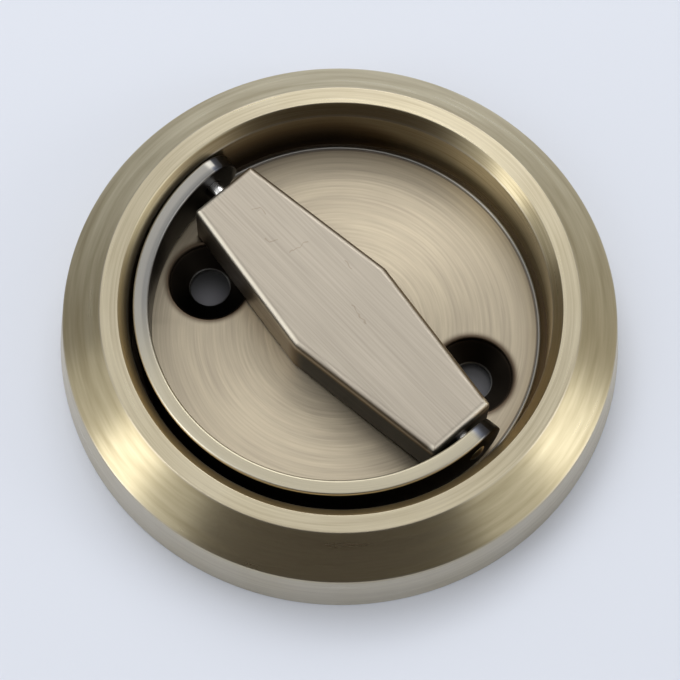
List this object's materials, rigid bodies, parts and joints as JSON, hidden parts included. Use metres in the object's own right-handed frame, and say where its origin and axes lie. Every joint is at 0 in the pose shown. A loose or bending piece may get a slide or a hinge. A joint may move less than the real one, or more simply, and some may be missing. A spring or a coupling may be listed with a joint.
{
  "type": "flush pull handle",
  "caption": "Round rose with a recessed cup, a six-sided turn bar in it, and a half ring hinged on the bar that folds flat and lifts out as a pull.",
  "frame": {"origin": "centre of the rose on its back face, which lies on the door", "axes": "+X along the turn bar, +Z out of the door; the folded half ring lies toward -Y"},
  "size_m": [0.0758, 0.0758, 0.0121],
  "materials": {
    "rim_brass": "antique brass, brushed round on a lathe",
    "floor_brass": "antique brass, brushed in circles",
    "bar_brass": "antique brass, brushed lengthwise",
    "ring_brass": "dark antique brass with bright edges",
    "bush_bronze": "machined",
    "stem_steel": "machined",
    "spring_steel": "oiled spring steel",
    "pin_steel": "ground bright"
  },
  "bodies": {
    "rose": {"rose_rim": "rim_brass", "floor_plate": "floor_brass", "stem_bush": "bush_bronze"},
    "turn": {"turn_bar": "bar_brass", "turn_stem": "stem_steel", "stem_screw": "stem_steel", "thrust_washer": "bush_bronze", "dish_washer": "spring_steel", "backing_washer": "stem_steel", "circlip": "spring_steel", "pivot_pin_left": "pin_steel", "pivot_pin_right": "pin_steel"},
    "ring": {"pull_ring": "ring_brass"}
  },
  "joints": [
    {"name": "bar_turn", "type": "hinge", "parent": "rose", "child": "turn", "pos_m": [0, 0, 0], "axis": [0, 0, 1], "continuous": true},
    {"name": "ring_lift", "type": "hinge", "parent": "turn", "child": "ring", "pos_m": [0, 0, 0.00753], "axis": [-1, 0, 0], "range_deg": [0, 180]}
  ]
}
